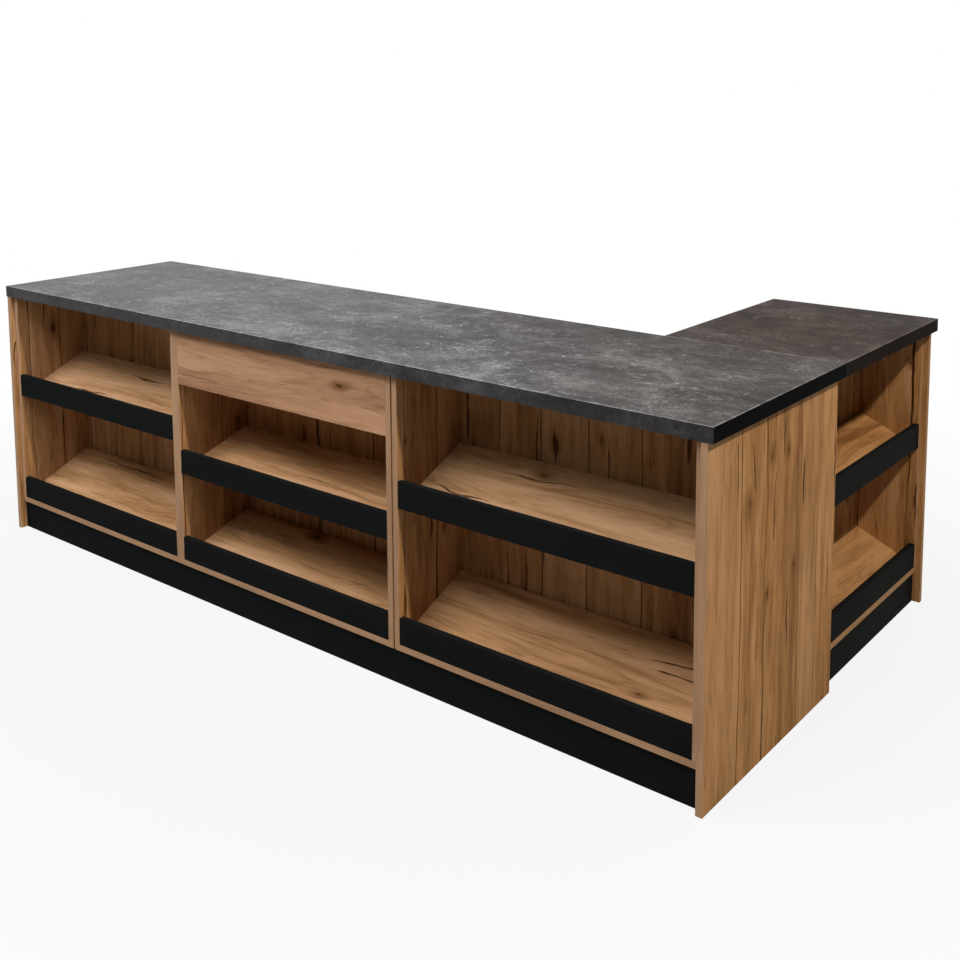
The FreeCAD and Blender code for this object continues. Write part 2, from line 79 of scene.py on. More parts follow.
def linear(code):
    """The linear colour of an sRGB hex value such as #A57D5A."""
    parts = [int(code[i:i + 2], 16) / 255 for i in (1, 3, 5)]
    return tuple(c / 12.92 if c <= 0.04045 else ((c + 0.055) / 1.055) ** 2.4 for c in parts)


def colour(name, code, description):
    """A colour as a setting."""
    return FloatVectorProperty(name=name, description=description, subtype="COLOR", size=3, min=0, max=1,
                               default=linear(code))


def length(name, millimetres, description):
    """A length as a setting."""
    return FloatProperty(name=name, description=description, subtype="DISTANCE", unit="LENGTH", min=0,
                         default=millimetres * MM)


def power(name, watts, description):
    """A light's power as a setting."""
    return FloatProperty(name=name, description=description, unit="POWER", min=0, default=watts)


class OakDecor(bpy.types.PropertyGroup):
    """The oak decor printed on the carcass boards"""
    pale: colour("Pale wood", "#D2A67B", "Lightest tone between the fibres")
    middle: colour("Middle wood", "#B48859", "Main tone")
    deep: colour("Deep wood", "#845B37", "Darkest tone of the fibres")
    grey: colour("Weathered wood", "#9C7650", "Planks with a greyer tone")
    front: colour("Front wood", "#A67F67", "Rosy tone of the fronts")
    check: colour("Checks", "#41280F", "Cracks, hearts of knots and joints between planks")
    knot: colour("Knots", "#6E4522", "Brown wood round the knots")
    edge: colour("Edge band", "#977E66", "Plastic band on the edges of the boards")
    plank_width: length("Plank width", 150, "Usual width of a printed plank on upright boards")
    wide_plank: length("Wide plank", 210, "Usual width of a printed plank on flat boards and fronts")
    joint_width: length("Joint width", 5.5, "Dark line between two planks, drawn wide so that it shows")
    joint_sway: length("Joint sway", 9, "How far the joints waver")
    upright_sway: length("Upright sway", 28, "How far the grain wanders on upright boards")
    flat_sway: length("Flat sway", 46, "How far the grain wanders on flat boards and fronts")
    fibre_width: length("Fibre width", 3.0, "Finest streaks along the grain")
    streak_width: length("Streak width", 22, "Broader streaks along the grain")
    cloud_width: length("Cloud width", 85, "Soft changes of tone")
    figure_width: length("Figure width", 120, "Curves that the growth rings follow")
    pore_width: length("Pore width", 4, "Open pores, drawn coarse so that they show")
    ragged_width: length("Ragged width", 14, "Unevenness of the checks and knots")
    check_width: length("Check width", 4.2, "Widest cracks along the grain")
    check_length: length("Check length", 420, "Longest cracks along the grain")
    check_spacing: length("Check spacing", 95, "Distance of the cracks across the grain")
    knot_spacing: length("Knot spacing", 430, "Distance of the knots along the grain, half that across it")


class ConcreteDecor(bpy.types.PropertyGroup):
    """The concrete decor of the worktops"""
    # The dark tone is also mixed into the edges, and on the sideways faces it is painted shade
    dark: colour("Dark concrete", "#2E2D2B", "Shaded clouds")
    middle: colour("Middle concrete", "#484746", "Main tone")
    # The pale tone is also mixed in towards the left end of the top as a painted sheen
    pale: colour("Pale concrete", "#6C6C6A", "Light clouds and worn places")
    warm: colour("Warm tint", "#9E8F87", "Tone of the brownish clouds against that of the rest")
    # The fleck colour also paints the highlight along the rim of the top
    fleck: colour("Flecks", "#A6A7A8", "Small scuffs and flecks")
    band: colour("End band", "#080808", "Plastic band on the cut ends")
    backing: colour("Backing", "#8A867F", "Paper on the underside")
    return_tint: colour("Return tint", "#F4E5E0", "Tone of the return's board against the main board's")
    cloud_size: length("Cloud size", 240, "Width of the large clouds")
    mottle_size: length("Mottle size", 45, "Width of the small clouds")
    wipe_size: length("Wipe size", 30, "Width of the wipes along the run")
    warm_size: length("Warm size", 400, "Width of the brownish clouds")
    grit_size: length("Grit size", 7, "Grains of the surface, drawn coarse so that they show")
    patch_size: length("Patch size", 190, "Width of the dusty patches")
    grain_size: length("Grain size", 11, "Pale grains in the dusty patches, drawn coarse so that they show")
    chip_spacing: length("Chip spacing", 22, "Distance of the places where a pale chip may lie")
    scratch_size: length("Scratch size", 55, "Width of the loops that the scratches make")
    # This line is partly wear and partly a painted highlight of the rounded edge
    rim_width: length("Rim width", 4.5, "Worn line along the edges of the top")


class BoardFinish(bpy.types.PropertyGroup):
    """Plain boards, plastic and metal"""
    black: colour("Black laminate", "#131413", "Lip boards and plinths")
    melamine: colour("Drawer board", "#C7C6C1", "Light grey drawer sides and back")
    fibreboard: colour("Drawer bottom", "#BDB9AF", "Lacquered fibreboard sheet")
    zinc: colour("Zinc plate", "#BFC2C4", "Runners, screws and connectors")
    coat: colour("Powder coat", "#171717", "Drawer handle")
    plastic: colour("Black plastic", "#1C1C1D", "Levelling feet")


class FootSizes(bpy.types.PropertyGroup):
    """Levelling feet behind the plinths"""
    inset: length("Inset", 70, "Foot axis from the edges of a unit's bottom")
    base: length("Base diameter", 50, "Pad on the floor and socket plate under the unit")
    stem: length("Stem diameter", 28, "Threaded stem")
    pad_height: length("Pad height", 8, "Pad on the floor")
    thread_pitch: length("Thread pitch", 5, "Coarse plastic thread")


class Studio(bpy.types.PropertyGroup):
    """Camera and lights"""
    camera_place: FloatVectorProperty(name="Camera place", description="Where the photo was taken from",
                                      size=3, subtype="TRANSLATION", unit="LENGTH",
                                      default=(2.5991, -2.9724, 1.6553))
    camera_turn: FloatVectorProperty(name="Camera turn", description="Tilt, roll and heading of the camera",
                                     size=3, subtype="EULER", unit="ROTATION",
                                     default=tuple(math.radians(a) for a in (83.408, 0.317, 38.87)))
    sensor: FloatProperty(name="Sensor", description="Width of the sensor", default=36,
                          subtype="DISTANCE_CAMERA")
    lens: FloatProperty(name="Lens", description="Focal length for that sensor", default=45.17,
                        subtype="DISTANCE_CAMERA")
    rise: FloatProperty(name="Rise", description="Upright shift of the lens", default=-0.28,
                        subtype="FACTOR")
    aim: FloatVectorProperty(name="Aim", description="Middle of the counter, which the lights shine at",
                             size=3, subtype="TRANSLATION", unit="LENGTH", default=(0, 0, 0.45))
    front: power("Front light", 154, "Large light high over the front")
    front_left: power("Front left light", 116, "Light high on the front left")
    low: power("Low light", 46, "Weak light lower in front, which reaches into the bays")
    front_colour: colour("Front colour", "#F0F2FF", "Slightly cool tint of the three front lights")
    side: power("Side light", 215, "Small steep light on the right")
    side_colour: colour("Side colour", "#FFEFD8", "Slightly warm tint of the side light")
    back: power("Back light", 104, "Light over the staff side, from the left")
    staff: power("Staff light", 68, "Lower light behind the counter, for the staff side")
    ambient: FloatProperty(name="Ambient", description="Light from the white surroundings", default=0.02,
                           subtype="FACTOR")


def add(tree, kind, inputs=(), **settings):
    """Adds a node, sets its properties, and sets or links each input. Gives back its outputs.

    Sockets go by name, or by number where names repeat. Input 0 of a Mix node is its factor, 2 and 3 are its
    numbers and 6 and 7 its colours. Its output 0 is a number and 2 a colour.
    """
    made = tree.nodes.new(kind)
    for name, value in settings.items():
        setattr(made, name, value)
    for name, value in dict(inputs).items():
        if isinstance(value, bpy.types.NodeSocket):
            tree.links.new(value, made.inputs[name])
        else:
            made.inputs[name].default_value = value
    return made.outputs


def start_material(name):
    """A new material with only its shader, as material, tree and shader."""
    material = bpy.data.materials.new(name)
    material.use_nodes = True
    tree = material.node_tree
    return material, tree, tree.nodes["Principled BSDF"]


def rgba(value):
    """A colour with full opacity."""
    return (*value, 1.0)


def per_metre(size):
    """How many times a pattern of this size repeats in a metre."""
    return 1.0 / size


def cells(along, across):
    """The scale of a pattern whose cells have this length along the grain and this width across it."""
    return (per_metre(along), per_metre(across), 1.0)


def oak_place(tree, grain, face, slope):
    """A point's place in the oak print, along and across the grain, and 1 where the edge band covers it.

    Each board shows its own part of the print, by its place through the thickness.
    """
    place = add(tree, "ShaderNodeTexCoord")["Object"]
    if slope:
        turn = [0.0, 0.0, 0.0]
        turn["XYZ".index(grain)] = -slope
        place = add(tree, "ShaderNodeMapping", {"Vector": place, "Rotation": turn})["Vector"]
    axes = add(tree, "ShaderNodeSeparateXYZ", {"Vector": place})
    along, through = axes[grain], axes[face]
    across = axes[({"X", "Y", "Z"} - {grain, face}).pop()]

    # The band shows where the surface turns away from the board's face
    normal = add(tree, "ShaderNodeNewGeometry")["Normal"]
    facing = add(tree, "ShaderNodeSeparateXYZ", {"Vector": normal})[face]
    facing = add(tree, "ShaderNodeMath", {0: facing}, operation="ABSOLUTE")["Value"]
    band = add(tree, "ShaderNodeMath", {0: facing, 1: 0.75}, operation="LESS_THAN")["Value"]

    shift = add(tree, "ShaderNodeMath", {0: through, 1: BOARD_SHIFT}, operation="MULTIPLY")["Value"]
    shift = add(tree, "ShaderNodeMix", {0: band, 2: shift, 3: 0.0})[0]
    across = add(tree, "ShaderNodeMix", {0: band, 2: across, 3: through})[0]
    along = add(tree, "ShaderNodeMath", {0: along, 1: shift}, operation="ADD")["Value"]
    along = add(tree, "ShaderNodeMath", {0: along, 1: PRINT_START}, operation="ADD")["Value"]
    across = add(tree, "ShaderNodeMath", {0: shift, 1: SIDE_SHARE, 2: across},
                 operation="MULTIPLY_ADD")["Value"]
    return along, across, band


def oak_planks(tree, decor, along, across, upright):
    """Planks of uneven width: their tones, the joints between them, and each point's place in the grain."""
    plank_width = decor.plank_width if upright else decor.wide_plank
    sway = decor.upright_sway if upright else decor.flat_sway

    # The grain wanders off the straight, most on flat boards and fronts, which show a livelier figure
    wander = add(tree, "ShaderNodeCombineXYZ", {"X": along, "Y": across})["Vector"]
    wander = add(tree, "ShaderNodeMapping", {"Vector": wander, "Scale": cells(*GRAIN_BEND)})["Vector"]
    wander = add(tree, "ShaderNodeTexNoise", {"Vector": wander, "Scale": 1.0, "Detail": 1.0})["Fac"]
    across = add(tree, "ShaderNodeMath", {0: wander, 1: sway, 2: across}, operation="MULTIPLY_ADD")["Value"]
    spot = add(tree, "ShaderNodeCombineXYZ", {"X": along, "Y": across})["Vector"]

    # The joints lie at uneven distances and waver
    uneven = add(tree, "ShaderNodeTexNoise",
                 {"W": across, "Scale": 0.7 * per_metre(plank_width), "Detail": 0.0},
                 noise_dimensions="1D")["Fac"]
    row = add(tree, "ShaderNodeMath", {0: uneven, 1: 1.1 * plank_width, 2: across},
              operation="MULTIPLY_ADD")["Value"]
    waver = add(tree, "ShaderNodeMapping", {"Vector": spot, "Scale": cells(*JOINT_BEND)})["Vector"]
    waver = add(tree, "ShaderNodeTexNoise", {"Vector": waver, "Scale": 1.0, "Detail": 2.0})["Fac"]
    row = add(tree, "ShaderNodeMath", {0: waver, 1: decor.joint_sway, 2: row},
              operation="MULTIPLY_ADD")["Value"]
    planks = {"Vector": add(tree, "ShaderNodeCombineXYZ", {"X": along, "Y": row})["Vector"],
              "Color1": (0, 0, 0, 1), "Color2": (1, 1, 1, 1), "Mortar": (0, 0, 0, 1), "Scale": 1.0,
              "Mortar Smooth": 0.35, "Bias": 0.0, "Brick Width": PLANK_LENGTH, "Row Height": plank_width}
    tone = add(tree, "ShaderNodeTexBrick", {**planks, "Mortar Size": 0.0}, offset=0.0)["Color"]
    joint = add(tree, "ShaderNodeTexBrick", {**planks, "Mortar Size": decor.joint_width / 2},
                offset=0.0)["Fac"]

    # Each plank has its own stretch of grain
    jump = add(tree, "ShaderNodeVectorMath", {0: tone, 1: PLANK_JUMP}, operation="MULTIPLY")["Vector"]
    spot = add(tree, "ShaderNodeVectorMath", {0: spot, 1: jump}, operation="ADD")["Vector"]
    return tone, joint, spot


def oak_knots(tree, decor, spot, upright):
    """Knots in most or half of the cells of a wide grid.

    Gives back a point's place in the grain, which flows round the knots, its distance from the knot of its
    cell, and 1 where that cell has one.
    """
    cell_width = decor.knot_spacing / 2
    place = add(tree, "ShaderNodeMapping",
                {"Vector": spot, "Scale": cells(decor.knot_spacing, cell_width)})["Vector"]
    knots = add(tree, "ShaderNodeTexVoronoi", {"Vector": place, "Scale": 1.0}, voronoi_dimensions="2D")
    kind = add(tree, "ShaderNodeSeparateColor", {"Color": knots["Color"]})
    size = add(tree, "ShaderNodeMapRange", {"Value": kind["Green"], "To Min": 2.4, "To Max": 0.9})["Result"]
    distance = add(tree, "ShaderNodeMath", {0: knots["Distance"], 1: size}, operation="MULTIPLY")["Value"]
    present = add(tree, "ShaderNodeMath", {0: kind["Red"], 1: 0.2 if upright else 0.45},
                  operation="GREATER_THAN")["Value"]
    pull = add(tree, "ShaderNodeMapRange",
               {"Value": distance, "From Max": 0.3, "To Min": 0.9, "To Max": 0.0},
               interpolation_type="SMOOTHSTEP")["Result"]
    pull = add(tree, "ShaderNodeMath", {0: pull, 1: present}, operation="MULTIPLY")["Value"]
    inward = add(tree, "ShaderNodeVectorMath", {0: knots["Position"], 1: place},
                 operation="SUBTRACT")["Vector"]
    pull = add(tree, "ShaderNodeVectorMath", {0: inward, "Scale": pull}, operation="SCALE")["Vector"]
    spot = add(tree, "ShaderNodeVectorMath", {0: pull, 1: (0, cell_width, 0), 2: spot},
               operation="MULTIPLY_ADD")["Vector"]
    return spot, distance, present


def oak_checks(tree, decor, spot, ragged, upright, calm):
    """Checks: in up to half the cells of a long grid a dark, bowed and uneven spindle with pointed ends."""
    stretch = 1.0 if upright else 1.5
    spacing = decor.check_spacing * stretch
    # How far a check strays from its line, in its own half widths
    unrest = 5.0
    place = add(tree, "ShaderNodeMapping",
                {"Vector": spot, "Scale": cells(decor.check_length * stretch, spacing)})["Vector"]
    checks = add(tree, "ShaderNodeTexVoronoi", {"Vector": place, "Scale": 1.0}, voronoi_dimensions="2D")
    kind = add(tree, "ShaderNodeSeparateColor", {"Color": checks["Color"]})
    off = add(tree, "ShaderNodeVectorMath", {0: place, 1: checks["Position"]},
              operation="SUBTRACT")["Vector"]
    off = add(tree, "ShaderNodeSeparateXYZ", {"Vector": off})
    reach = add(tree, "ShaderNodeMapRange", {"Value": kind["Green"], "To Min": 7.0, "To Max": 2.2})["Result"]
    reach = add(tree, "ShaderNodeMath", {0: off["X"], 1: reach}, operation="MULTIPLY")["Value"]
    taper = add(tree, "ShaderNodeMath", {0: reach, 1: reach}, operation="MULTIPLY")["Value"]
    bow = add(tree, "ShaderNodeMapRange", {"Value": kind["Blue"], "To Min": -2.6, "To Max": 2.6})["Result"]
    bow = add(tree, "ShaderNodeMath", {0: bow, 1: taper}, operation="MULTIPLY")["Value"]
    bow = add(tree, "ShaderNodeMath", {0: ragged, 1: unrest, 2: bow}, operation="MULTIPLY_ADD")["Value"]
    aside = add(tree, "ShaderNodeMath", {0: off["Y"], 1: spacing / decor.check_width, 2: bow},
                operation="MULTIPLY_ADD")["Value"]
    aside = add(tree, "ShaderNodeMath", {0: aside, 1: unrest / 2}, operation="SUBTRACT")["Value"]
    aside = add(tree, "ShaderNodeMath", {0: aside}, operation="ABSOLUTE")["Value"]
    check = add(tree, "ShaderNodeMath", {0: 1.0, 1: taper}, operation="SUBTRACT")["Value"]
    check = add(tree, "ShaderNodeMath", {0: check, 1: aside}, operation="SUBTRACT")["Value"]
    check = add(tree, "ShaderNodeMapRange",
                {"Value": check, "From Max": 0.5, "To Max": 0.92 - calm})["Result"]
    present = add(tree, "ShaderNodeMath", {0: kind["Red"], 1: 0.48 if upright else 0.62},
                  operation="GREATER_THAN")["Value"]
    return add(tree, "ShaderNodeMath", {0: check, 1: present}, operation="MULTIPLY")["Value"]


def golden_oak(name, decor, grain, face, slope=0.0, calm=0.0):
    """Oak decor laminate: printed planks with fibres, checks and knots along the grain.

    Paper under a matt resin gives a soft sheen, and the press leaves a shallow grain. A plastic band in a
    plainer tone covers the edges. The grain runs along one axis, and face is the axis across the board's
    thickness. slope is the tilt of a shelf about its grain. calm draws the tones to the rosy one of the
    fronts and fades the checks.
    """
    material, tree, shader = start_material(name)
    upright = grain == "Z"
    along, across, band = oak_place(tree, grain, face, slope)
    tone, joint, spot = oak_planks(tree, decor, along, across, upright)
    spot, knot_distance, has_knot = oak_knots(tree, decor, spot, upright)

    # Five spaces drawn out along the grain: for fibres, pores, streaks, clouds and ragged edges
    ratios = (26, 18, 12, 8, 7) if upright else (34, 18, 17, 9, 7)
    long, dashed, drawn, medium, short = (
        add(tree, "ShaderNodeVectorMath", {0: spot, 1: (1 / ratio, 1, 1)}, operation="MULTIPLY")["Vector"]
        for ratio in ratios)
    fibre, pore, streak, cloud, figure, ragged = (
        add(tree, "ShaderNodeTexNoise",
            {"Vector": space, "Scale": per_metre(width), "Detail": detail, "Roughness": rough,
             "Distortion": bend})["Fac"]
        for space, width, detail, rough, bend in (
            (long, decor.fibre_width, 3.0, 0.7, 0.0),
            (dashed, decor.pore_width, 1.0, 0.5, 0.0),
            (drawn, decor.streak_width, 3.0, 0.68, 0.25),
            (medium, decor.cloud_width, 3.0, 0.55, 0.5),
            (medium, decor.figure_width, 1.5, 0.5, 0.6),
            (short, decor.ragged_width, 2.0, 0.5, 0.0)))

    # Growth rings: fine lines along the curves of the figure, in the darker clouds
    ring_turns = 110.0
    rings = add(tree, "ShaderNodeMath", {0: figure, 1: ring_turns}, operation="MULTIPLY")["Value"]
    rings = add(tree, "ShaderNodeMath", {0: rings}, operation="SINE")["Value"]
    rings = add(tree, "ShaderNodeMapRange", {"Value": rings, "From Min": 0.2, "From Max": 1.0})["Result"]
    ring_room = add(tree, "ShaderNodeMapRange",
                    {"Value": cloud, "From Min": 0.6, "From Max": 0.4,
                     "To Max": 0.2 if upright else 0.25})["Result"]
    rings = add(tree, "ShaderNodeMath", {0: rings, 1: ring_room}, operation="MULTIPLY")["Value"]

    # Open pores: short dark dashes in the darker streaks
    pore = add(tree, "ShaderNodeMapRange",
               {"Value": pore, "From Min": 0.57, "From Max": 0.7,
                "To Max": 0.55 if upright else 0.42})["Result"]
    pore_room = add(tree, "ShaderNodeMapRange",
                    {"Value": streak, "From Min": 0.62, "From Max": 0.38})["Result"]
    pore = add(tree, "ShaderNodeMath", {0: pore, 1: pore_room}, operation="MULTIPLY")["Value"]

    # A knot has brown wood round a small dark heart, both with ragged edges
    outward = add(tree, "ShaderNodeMath", {0: ragged, 1: 0.1, 2: knot_distance},
                  operation="MULTIPLY_ADD")["Value"]
    brown = add(tree, "ShaderNodeMapRange",
                {"Value": outward, "From Min": 0.08, "From Max": 0.2, "To Min": 0.72,
                 "To Max": 0.0})["Result"]
    brown = add(tree, "ShaderNodeMath", {0: brown, 1: has_knot}, operation="MULTIPLY")["Value"]
    heart = add(tree, "ShaderNodeMapRange",
                {"Value": outward, "From Min": 0.06, "From Max": 0.09, "To Min": 0.8,
                 "To Max": 0.0})["Result"]
    heart = add(tree, "ShaderNodeMath", {0: heart, 1: has_knot}, operation="MULTIPLY")["Value"]

    # Tones from planks, clouds, streaks and fibres, with some planks greyer
    shares = (0.26, 0.85, 0.62, 0.45) if upright else (0.26, 1.1, 0.45, 0.45)
    mixed = 0.5 - 0.5 * sum(shares)
    for layer, share in zip((tone, cloud, streak, fibre), shares):
        mixed = add(tree, "ShaderNodeMath", {0: layer, 1: share, 2: mixed},
                    operation="MULTIPLY_ADD")["Value"]
    ramp = add(tree, "ShaderNodeValToRGB", {"Fac": mixed})["Color"]
    stops = tree.nodes[-1].color_ramp.elements
    stops[0].position, stops[0].color = 0.2, rgba(decor.deep)
    stops[1].position, stops[1].color = 0.8, rgba(decor.pale)
    stops.new(0.5).color = rgba(decor.middle)
    weathered = add(tree, "ShaderNodeMapRange", {"Value": tone, "From Min": 0.5, "To Max": 0.35})["Result"]

    # All dark marks together, kept off the band. The joints are strongest where the clouds are pale
    joint_strength = 1.0 if upright else 0.2
    joint_room = add(tree, "ShaderNodeMapRange",
                     {"Value": cloud, "From Min": 0.4, "From Max": 0.58, "To Min": 0.2 * joint_strength,
                      "To Max": joint_strength})["Result"]
    marks = add(tree, "ShaderNodeMath", {0: joint, 1: joint_room}, operation="MULTIPLY")["Value"]
    for mark in (oak_checks(tree, decor, spot, ragged, upright, calm), heart, pore, rings):
        marks = add(tree, "ShaderNodeMath", {0: marks, 1: mark}, operation="MAXIMUM")["Value"]
    marks = add(tree, "ShaderNodeMix", {0: band, 2: marks, 3: 0.0})[0]
    banded = add(tree, "ShaderNodeMath", {0: band, 1: 0.55}, operation="MULTIPLY")["Value"]

    tint = ramp
    for amount, shade in ((weathered, decor.grey), (calm, decor.front), (brown, decor.knot),
                          (marks, decor.check), (banded, decor.edge)):
        tint = add(tree, "ShaderNodeMix", {0: amount, 6: tint, 7: rgba(shade)}, data_type="RGBA")[2]
    height = add(tree, "ShaderNodeMath", {0: fibre, 1: marks}, operation="SUBTRACT")["Value"]
    relief = add(tree, "ShaderNodeBump",
                 {"Height": height, "Strength": 0.25, "Distance": 0.3 * MM})["Normal"]
    sheen = add(tree, "ShaderNodeMapRange", {"Value": streak, "To Min": 0.56, "To Max": 0.7})["Result"]
    tree.links.new(tint, shader.inputs["Base Color"])
    tree.links.new(sheen, shader.inputs["Roughness"])
    tree.links.new(relief, shader.inputs["Normal"])
    shader.inputs["Specular IOR Level"].default_value = 0.04
    return material


def concrete_marks(tree, decor, place, wiped, mottle, grit, to_left):
    """Pale marks of use on a worktop, as scuffs, flecks and scratches."""
    # Scuffs: dusty patches that break up into pale grains, fewer towards the left
    patch = add(tree, "ShaderNodeTexNoise",
                {"Vector": wiped, "Scale": per_metre(decor.patch_size), "Detail": 7.0, "Roughness": 0.74,
                 "Distortion": 0.2})["Fac"]
    patch = add(tree, "ShaderNodeMapRange", {"Value": patch, "From Min": 0.48, "From Max": 0.7})["Result"]
    patch_room = add(tree, "ShaderNodeMath", {0: to_left, 1: -1.2, 2: 1.0},
                     operation="MULTIPLY_ADD")["Value"]
    patch = add(tree, "ShaderNodeMath", {0: patch, 1: patch_room}, operation="MULTIPLY")["Value"]
    grain = add(tree, "ShaderNodeTexNoise",
                {"Vector": place, "Scale": per_metre(decor.grain_size), "Detail": 3.0,
                 "Roughness": 0.75})["Fac"]
    grain = add(tree, "ShaderNodeMapRange",
                {"Value": grain, "From Min": 0.46, "From Max": 0.64, "To Min": 0.03,
                 "To Max": 0.75})["Result"]
    scuff = add(tree, "ShaderNodeMath", {0: patch, 1: grain}, operation="MULTIPLY")["Value"]

    # Flecks: pale chips, most in the patches, drawn a little larger than real so that they show
    chips = add(tree, "ShaderNodeTexVoronoi", {"Vector": wiped, "Scale": per_metre(decor.chip_spacing)})
    fleck = add(tree, "ShaderNodeMath", {0: grit, 1: 0.7, 2: chips["Distance"]},
                operation="MULTIPLY_ADD")["Value"]
    fleck = add(tree, "ShaderNodeMapRange",
                {"Value": fleck, "From Min": 0.44, "From Max": 0.56, "To Min": 0.95,
                 "To Max": 0.0})["Result"]
    present = add(tree, "ShaderNodeSeparateColor", {"Color": chips["Color"]})["Red"]
    present = add(tree, "ShaderNodeMath", {0: patch, 1: 0.16, 2: present}, operation="MULTIPLY_ADD")["Value"]
    present = add(tree, "ShaderNodeMath", {0: present, 1: 0.975}, operation="GREATER_THAN")["Value"]
    fleck = add(tree, "ShaderNodeMath", {0: fleck, 1: present}, operation="MULTIPLY")["Value"]

    # Scratches: fine pale crinkles in the lighter clouds, drawn wide so that they show
    scratch = add(tree, "ShaderNodeTexNoise",
                  {"Vector": wiped, "Scale": per_metre(decor.scratch_size), "Detail": 3.0,
                   "Distortion": 1.2})["Fac"]
    scratch = add(tree, "ShaderNodeMath", {0: scratch, 1: 0.5}, operation="SUBTRACT")["Value"]
    scratch = add(tree, "ShaderNodeMath", {0: scratch}, operation="ABSOLUTE")["Value"]
    scratch = add(tree, "ShaderNodeMapRange",
                  {"Value": scratch, "From Max": 0.025, "To Min": 0.62, "To Max": 0.0})["Result"]
    scratch_room = add(tree, "ShaderNodeMapRange",
                       {"Value": mottle, "From Min": 0.5, "From Max": 0.64})["Result"]
    scratch = add(tree, "ShaderNodeMath", {0: scratch, 1: scratch_room}, operation="MULTIPLY")["Value"]
    return scuff, fleck, scratch


def rim_wear_and_highlight(tree, decor, axes, mottle, low, high):
    """A pale line along the edges of a worktop that reaches from low to high, partly wear and partly a
    painted highlight of the rounded edge, stronger at some places.
    """
    gaps = []
    for axis, start, end in zip("XY", low, high):
        gaps.append(add(tree, "ShaderNodeMath", {0: axes[axis], 1: start}, operation="SUBTRACT")["Value"])
        gaps.append(add(tree, "ShaderNodeMath", {0: end, 1: axes[axis]}, operation="SUBTRACT")["Value"])
    to_rim = gaps[0]
    for gap in gaps[1:]:
        to_rim = add(tree, "ShaderNodeMath", {0: to_rim, 1: gap}, operation="MINIMUM")["Value"]
    rim = add(tree, "ShaderNodeMapRange",
              {"Value": to_rim, "From Min": decor.rim_width * 0.7, "From Max": decor.rim_width,
               "To Min": 1.0, "To Max": 0.0})["Result"]
    rim_strength = add(tree, "ShaderNodeMapRange",
               {"Value": mottle, "From Min": 0.38, "From Max": 0.65, "To Min": 0.15,
                "To Max": 0.75})["Result"]
    return add(tree, "ShaderNodeMath", {0: rim, 1: rim_strength}, operation="MULTIPLY")["Value"]


